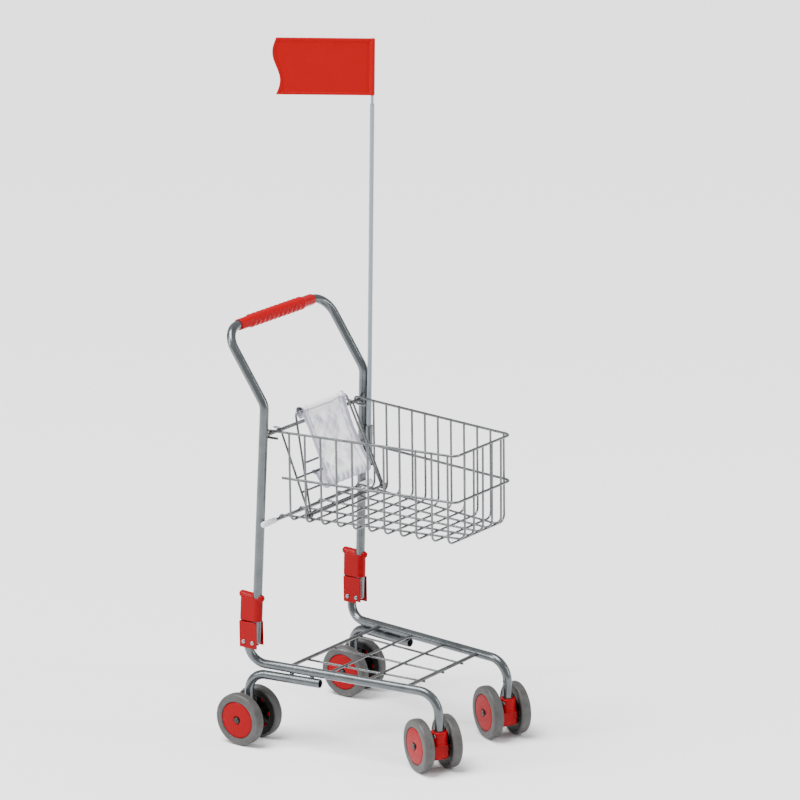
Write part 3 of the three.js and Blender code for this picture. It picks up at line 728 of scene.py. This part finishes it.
def axle(name, at, axis, body, node, collars):
    """Pin with a dimpled cap at each end and a spacer at each of the collars."""
    sh = Shell()
    pin = 2.4
    cap = [(pin, -0.1), (4.1, -0.1), (4.0, 0.9), (3.2, 1.6), (1.5, 1.2), (1.2, 1.85), (0, 1.9)]
    profile = [(r, -REACH - h) for r, h in reversed(cap)]
    for a, b in collars:
        profile += [(pin, a), (4.3, a), (4.6, a + 0.3), (4.6, b - 0.3), (4.3, b), (pin, b)]
    profile += [(r, REACH + h) for r, h in cap]
    lathe(sh, profile, at, axis, 32)
    sh.make(name, [DARK_STEEL], body, [node])


for side, s in SIDES:
    at = Vector((REAR[0], s * REAR[1], WHEEL_R))
    axle("pin_rear_" + side, at, Y, "chassis", "rear_axle_" + side, [(-12.6, -6.6), (6.6, 12.6)])
    spacers = [(-12.6, -9.9), (9.9, 12.6)]
    stem = Vector((STEM[0], s * STEM[1], 0))
    point = stem - FORWARD * TRAIL + Z * WHEEL_R
    axle("pin_front_" + side, point, AXLE, "caster_" + side, "caster_axle_" + side, spacers)
    for place, t in (("outer", s), ("inner", -s)):
        for end, middle, along in (("rear", at, Y), ("front", point, AXLE)):
            key = f"{end}_{side}_{place}"
            where = middle + along * (t * TWIN)
            wheel(key + "_round", where, along * t, "wheel_" + key, "tyre_" + key, "hub_" + key)


# ---------------------------------------------------------------- basket
BASKET_NODES = ["basket_side_right", "basket_side_left", "basket_front", "basket_floor"]
CAP = [(2.7, 92), (3.4, 92), (3.8, 92.3), (4, 93), (4, 115.6), (3.75, 116.9)]
CAP += [(3.1, 117.8), (1.8, 118.2), (0, 118.3), (0, 114.4), (2.7, 114.4), (2.7, 92)]
LONG_WIRES = (-1, -0.5, 0, 0.5, 1)  # where each long wire stands, as a share of the outermost
LONG_FRONT, LONG_BACK = 40, 83  # half the spread of the long wires at the front and at the back


def basket():
    sh = Shell()
    turn = CROSS_R + RIM + HOOK_GAP
    xs = [38 + 22.8 * i for i in range(11)]
    corner = 9
    corner_y = half_rim(FRONT_X - corner) + 0.3 - 2.3
    # Rim: one wire, hooked round the cross bar at both ends.
    tip, back = HOOK_X + 13, HOOK_X - turn
    hook = [(tip, half_rim(tip), CROSS_Z - turn)]
    hook += [(back, half_rim(HOOK_X), CROSS_Z - turn), (back, half_rim(HOOK_X), CROSS_Z + turn)]
    half = hook + [(FRONT_X, corner_y, RIM_Z)]
    round_hook = [turn - 0.01] * 2
    rim = [(x, -y, z) for x, y, z in half] + half[::-1]
    bar(sh, rim, RIM, round_hook + [corner, corner] + round_hook, 14, 12)
    # Mid ring
    half = [(27, half_rim(27), RING_Z), (FRONT_X, corner_y, RING_Z)]
    bar(sh, [(x, -y, z) for x, y, z in half] + half[::-1], RIM, [corner, corner], 14, 12)
    # Cross wires, each one U from rim to rim
    tip_z = RIM_Z + 0.9
    for x in xs:
        y = half_rim(x) - 0.6
        u = [(x, -y, tip_z), (x, -y, FLOOR_Z), (x, y, FLOOR_Z), (x, y, tip_z)]
        bar(sh, u, WIRE, [BEND - 1.2] * 2, 12, 10, edge=0.6)
        for s in (-1, 1):
            weld(sh, (x, s * (y + 0.6), RIM_Z), 1.95, squash=(1.1, 0.95, 0.9))
            weld(sh, (x, s * (y + 0.6), RING_Z), 1.95, squash=(1.1, 0.95, 0.9))
    # Front wires, turned under into the long floor wires
    long_z, long_x, end_x = FLOOR_Z + 2.5, FRONT_X - 14.2, 15.4
    for t in LONG_WIRES:
        w, spread = LONG_FRONT * t, LONG_BACK * t
        wire = [(FRONT_X - 0.6, w, tip_z), (FRONT_X - 1.2, w, long_z)]
        wire += [(long_x, w, long_z), (end_x, spread, long_z)]
        bar(sh, wire, WIRE, [11, 8], 12, 10, edge=0.6)
        weld(sh, (FRONT_X - 0.2, w, RIM_Z), 1.95, squash=(0.95, 1.1, 0.9))
        weld(sh, (FRONT_X - 0.2, w, RING_Z), 1.95, squash=(0.95, 1.1, 0.9))
        for x in xs:
            k = (long_x - x) / (long_x - end_x)
            if k > 0:
                weld(sh, (x, w + (spread - w) * k, FLOOR_Z + 1.3), 1.3, squash=(1.1, 1.1, 0.8))
    sh.make("basket_wires", [WIRES], "basket", BASKET_NODES)
    # Rear bar with white caps
    sh = Shell()
    bar_x, bar_z = REAR_BAR
    bar(sh, [(bar_x, -114, bar_z), (bar_x, 114, bar_z)], 2.4, sides=20)
    for t in LONG_WIRES:
        weld(sh, (14.6, LONG_BACK * t, 303.2), 1.7)
    sh.make("basket_back_bar", [WIRES], "basket", ["basket_rear_bar"])
    for side, s in SIDES:
        sh = Shell()
        lathe(sh, CAP, (bar_x, 0, bar_z), Y * s, 32)
        sh.make("cap_" + side, [WHITE], "basket", ["bar_cap_" + side])
    sh = Shell()
    bar(sh, [(HINGE[0], -85.2, HINGE[1]), (HINGE[0], 85.2, HINGE[1])], 2.0, sides=20)
    for s in (-1, 1):
        weld(sh, (HINGE[0] + 0.3, s * 85.5, HINGE[1]), 2.3, squash=(1, 0.5, 1))
    sh.make("seat_bar", [WIRES], "basket", ["seat_hinge_bar"])


basket()


# ---------------------------------------------------------------- doll seat
def toward(top, foot):
    def at(z):
        t = (z - HINGE[1]) / (top.z - HINGE[1])
        return Vector((HINGE[0] + (top.x - HINGE[0]) * t, foot + (top.y - foot) * t, z))

    return at


def flip(p, s):
    return Vector((p.x, s * p.y, p.z))


TURN_GATE = CROSS_R + WIRE + HOOK_GAP
GATE_TOP = Vector((HOOK_X + TURN_GATE, 77.5, CROSS_Z + TURN_GATE))
BACK_TOP = Vector((20, 54, 438))
GATE_FOOT, BACK_FOOT = 80.5, 77  # y of each frame's eyes on the hinge bar
GATE, BACK = toward(GATE_TOP, GATE_FOOT), toward(BACK_TOP, BACK_FOOT)
EYE, EYE_WIRE = 3.3, 0.95
EYE_TOP = HINGE[1] + EYE
GATE_BARS, BACK_BAR = (357.7, 340), 374  # heights
SEAT_BODY = "seat"

sh = Shell()
for s in (-1, 1):
    hooked = [(HOOK_X - 6.5, s * GATE_TOP.y, GATE_TOP.z), flip(GATE_TOP, s), flip(GATE(EYE_TOP), s)]
    bar(sh, hooked, WIRE, 3.6, 12, 12, edge=0.6)
    ring(sh, (HINGE[0], s * GATE_FOOT, HINGE[1]), Y, EYE, EYE_WIRE)
for z in GATE_BARS:
    p = GATE(z)
    bar(sh, [(p.x, -p.y - 0.9, z), (p.x, p.y + 0.9, z)], WIRE, sides=12)
sh.make("gate_wires", [WIRES], SEAT_BODY, ["gate_frame"])

sh = Shell()
bar(sh, [flip(BACK(EYE_TOP), -1), flip(BACK_TOP, -1), BACK_TOP, BACK(EYE_TOP)], WIRE, 10, 12, 14)
for s in (-1, 1):
    ring(sh, (HINGE[0], s * BACK_FOOT, HINGE[1]), Y, EYE, EYE_WIRE)
p = BACK(BACK_BAR)
bar(sh, [(p.x, -p.y - 0.3, BACK_BAR), (p.x, p.y + 0.3, BACK_BAR)], WIRE, sides=12)
sh.make("back_wires", [WIRES], SEAT_BODY, ["back_frame"])


def bell(value, middle, spread):
    return math.exp(-(((value - middle) / spread) ** 2))


def ramped(value, low, high):
    k = max(0.0, min(1.0, (value - low) / (high - low)))
    return k * k * (3 - 2 * k)


CLOTH_HALF, SEAM_Y = 42.5, 34.0
EDGE_TURN = 5.0  # how far each side edge is turned back
# Along the cloth from the sleeve's edge: the sleeve's seam, the end of the front and the end of the base
TUCK, FRONT_END, BASE_END = 24.0, 112.0, 142.0
LOOP = 2.6  # radius at which the cloth goes round a wire


def cloth_line():
    """The cloth's middle line: sleeve over the back frame, sloping front, base tied back to the gate."""
    tie = GATE(GATE_BARS[0])
    line = [Vector((24.0, 0, 427.5)), Vector((20.6, 0, 429.5)), Vector((18.0, 0, 433))]

    def around(x, z, radius, first, last, count):
        for i in range(count + 1):
            a = math.radians(first + (last - first) * i / count)
            line.append(Vector((x + radius * math.cos(a), 0, z + radius * math.sin(a))))

    around(BACK_TOP.x, BACK_TOP.z, LOOP, 185, 12, 9)
    front = [(26.5, 424), (38, 398), (50, 374), (60, 356), (64, 349), (65.4, 345.8), (64.4, 342.9)]
    base = [(61, 341.3), (55.5, 340.8), (50.5, 344), (46, 350.5)]
    line.extend(Vector((x, 0, z)) for x, z in front + base)
    around(tie.x, tie.z, LOOP, -40, -200, 7)
    return line


def evenly(line, count):
    """The line again as count equal steps, and its length."""
    lengths = [0.0]
    for a, b in zip(line, line[1:]):
        lengths.append(lengths[-1] + (b - a).length)
    out, j = [], 0
    for i in range(count + 1):
        want = lengths[-1] * i / count
        while j < len(line) - 2 and lengths[j + 1] < want:
            j += 1
        out.append(line[j].lerp(line[j + 1], (want - lengths[j]) / (lengths[j + 1] - lengths[j])))
    return out, lengths[-1]


def fold_height_and_shade(s, y):
    """How far the cloth stands off its middle surface, and how much shade to paint on it for how deep in a
    fold it is.
    """
    front = ramped(s, TUCK - 4, TUCK + 10) * (1 - ramped(s, FRONT_END - 14, FRONT_END))
    base = ramped(s, FRONT_END, FRONT_END + 8) * (1 - ramped(s, BASE_END - 8, BASE_END))
    wander = 2.2 * noise.noise(Vector((y * 0.05, 3.7, 0.0)))
    dents = -3.6 * bell(y, 7, 15) * bell(s, 56, 17) - 3.0 * bell(y, -17, 9) * bell(s, 41, 9)
    dents += 2.2 * bell(y, -9, 12) * bell(s, 86, 10) - 1.5 * bell(y, 18, 9) * bell(s, 94, 8)
    drag = 0.0
    for lean, seed, high in ((0.62, 1.9, 2.1), (-0.75, 8.3, 1.6)):
        along = y * math.sin(lean) + s * math.cos(lean)
        across = y * math.cos(lean) - s * math.sin(lean)
        n = noise.noise(Vector((across * 0.085, along * 0.019, seed)))
        fade = 0.55 + 0.45 * noise.noise(Vector((y * 0.03, s * 0.03, seed + 5)))
        drag += high * (1 - 2 * min(1.0, abs(n) * 2.6)) * fade
    calm = 1 - 0.75 * ramped(abs(y), SEAM_Y - 3, CLOTH_HALF)
    height = front * (dents + drag) * calm
    tuck = bell(s, TUCK + wander, 1.5)
    height += -1.5 * tuck + 0.9 * bell(s, TUCK + wander + 4.5, 3.2)
    seam = bell(abs(y), SEAM_Y, 0.9) * ramped(s, 12, 18) * (1 - ramped(s, FRONT_END, FRONT_END + 6))
    height -= 0.75 * seam
    height += 0.35 * ramped(abs(y), SEAM_Y, SEAM_Y + 1.5) * front
    pleat = math.sin(y * 0.62 + 2.2 * noise.noise(Vector((y * 0.06, s * 0.05, 2.0))))
    height += base * 1.0 * pleat
    # Painted shade: in the tuck, along the seams, in deep dents and drag folds, and over the base, most in
    # its pleat hollows.
    depth = 0.75 * tuck + 0.6 * seam + front * max(0.0, -(dents + drag) / 4.6) + base * (0.55 - 0.35 * pleat)
    return height, max(0.0, min(1.0, depth))


def seat_cloth():
    rows, columns = 190, 96
    line, total = evenly(cloth_line(), rows)
    ahead = tangents(line)
    outline = []  # across the cloth: the flat middle and the edge turned back at each side
    for k in range(columns + 1):
        w = (-1 + 2 * k / columns) * (CLOTH_HALF + EDGE_TURN)
        turned = max(0.0, abs(w) - CLOTH_HALF)
        outline.append((math.copysign(min(abs(w), CLOTH_HALF) + 0.25 * min(turned, 1.0), w), turned))
    verts, painted_shades = [], []
    for i, (p, t) in enumerate(zip(line, ahead)):
        s = total * i / rows
        normal = Vector((-t.z, 0, t.x)) * -1
        open_edge = ramped(s, 16, 24) * (1 - ramped(s, FRONT_END - 6, FRONT_END + 4))
        nip = 0.05 * math.sin(math.pi * ramped(s, 18, FRONT_END))
        waist = 1 - nip - 0.12 * ramped(s, FRONT_END, BASE_END)
        for y, turned in outline:
            height, depth = fold_height_and_shade(s, y)
            back = turned * (0.25 + 0.75 * open_edge)
            flare = turned * 0.9 * (1 - open_edge)
            q = p + normal * (height - back)
            verts.append(Vector((q.x, (y + math.copysign(flare, y)) * waist, q.z)))
            # The edges turned back get painted shade too.
            painted_shades.append(max(depth, 0.85 * ramped(turned, 0.2, 1.2)))
    n = columns + 1
    corners = [i * n + k for i in range(rows) for k in range(columns)]
    faces = [(c, c + 1, c + n + 1, c + n) for c in corners]
    sh = Shell()
    sh.add(verts, faces)
    obj = sh.make("seat_sling", [CLOTH], SEAT_BODY, ["seat_cloth"], sharp=180)
    # Painted shade per vertex, which the cloth material turns to lilac.
    shade = obj.data.attributes.new("painted_fold_shade", "FLOAT", "POINT")
    shade.data.foreach_set("value", painted_shades)
    mod = obj.modifiers.new("thickness", "SOLIDIFY")
    mod.thickness = 0.0008
    mod.offset = 0
    # Stitches along both side seams
    sh = Shell()
    for s in (-1, 1):
        k = min(range(n), key=lambda j: abs(outline[j][0] - s * SEAM_Y))
        for i in range(30, int(rows * FRONT_END / total), 4):
            a, b = verts[i * n + k], verts[(i + 2) * n + k]
            lift = Vector((0.55, 0, 0.3))
            bar(sh, [a + lift, a.lerp(b, 0.5) + lift * 1.35, b + lift], 0.28, sides=6, edge=0.1)
    stitches = sh.make("seat_stitches", [THREAD], SEAT_BODY)


seat_cloth()

# ---------------------------------------------------------------- floor, light and camera
FLOOR_HALF = 30  # m
floor_mesh = bpy.data.meshes.new("studio_floor")
corners = [(x * FLOOR_HALF, y * FLOOR_HALF, 0) for x, y in ((-1, -1), (1, -1), (1, 1), (-1, 1))]
floor_mesh.from_pydata(corners, [], [(0, 1, 2, 3)])
studio = bpy.data.objects.new("studio_floor", floor_mesh)
bpy.context.scene.collection.objects.link(studio)
n = Nodes("floor_white", Roughness=0.55, Specular_IOR_Level=0.2)
n.p.inputs["Base Color"].default_value = (0.93, 0.93, 0.94, 1)
floor_mesh.materials.append(n.mat)

world = bpy.data.worlds.new("studio")
world.use_nodes = True
backdrop = world.node_tree.nodes["Background"].inputs
backdrop["Color"].default_value = (1, 1, 1, 1)
backdrop["Strength"].default_value = 0.65
bpy.context.scene.world = world


def aim(obj, at, target):
    obj.location = at
    obj.rotation_mode = "QUATERNION"
    obj.rotation_quaternion = (Vector(target) - Vector(at)).to_track_quat("-Z", "Y")
    bpy.context.scene.collection.objects.link(obj)


def lamp(name, at, target, size, power):
    data = bpy.data.lights.new(name, "AREA")
    data.shape = "RECTANGLE"
    data.size, data.size_y = size
    data.energy = power
    aim(bpy.data.objects.new(name, data), at, target)


overhead = bpy.data.lights.new("overhead", "SUN")
overhead.energy = 6.4
overhead.angle = math.radians(35)
aim(bpy.data.objects.new("overhead", overhead), (-0.5, -0.9, 3.0), (0, 0, 0))
lamp("key", (-1.9, -2.2, 1.9), (0, 0, 0.4), (0.35, 2.2), 70)
lamp("rim", (2.6, 1.0, 1.5), (0, 0, 0.4), (0.4, 2.0), 45)

# Camera: angles in radians, lengths in m, focal length in picture widths
az, el, roll = 0.632124, 0.276189, -0.012831
distance, focal = 6.10638, 5.9165
shift_x, shift_y = 0.0209577, 0.1211774
back = Vector((math.sin(az) * math.cos(el), -math.cos(az) * math.cos(el), math.sin(el)))
level = Vector((math.cos(az), math.sin(az), 0))
upward = back.cross(level)
right = level * math.cos(roll) + upward * math.sin(roll)
up = upward * math.cos(roll) - level * math.sin(roll)
cam = bpy.data.cameras.new("camera")
cam.lens = focal * cam.sensor_width
cam.clip_start, cam.clip_end = 0.1, 100
cam_obj = bpy.data.objects.new("camera", cam)
centre = Vector(((120.0 - MID) / 1000, 0, 0.330))
stand = Matrix((right, up, back)).transposed().to_4x4()
stand.translation = centre + right * shift_x + up * shift_y + back * distance
cam_obj.matrix_world = stand
bpy.context.scene.collection.objects.link(cam_obj)
bpy.context.scene.camera = cam_obj
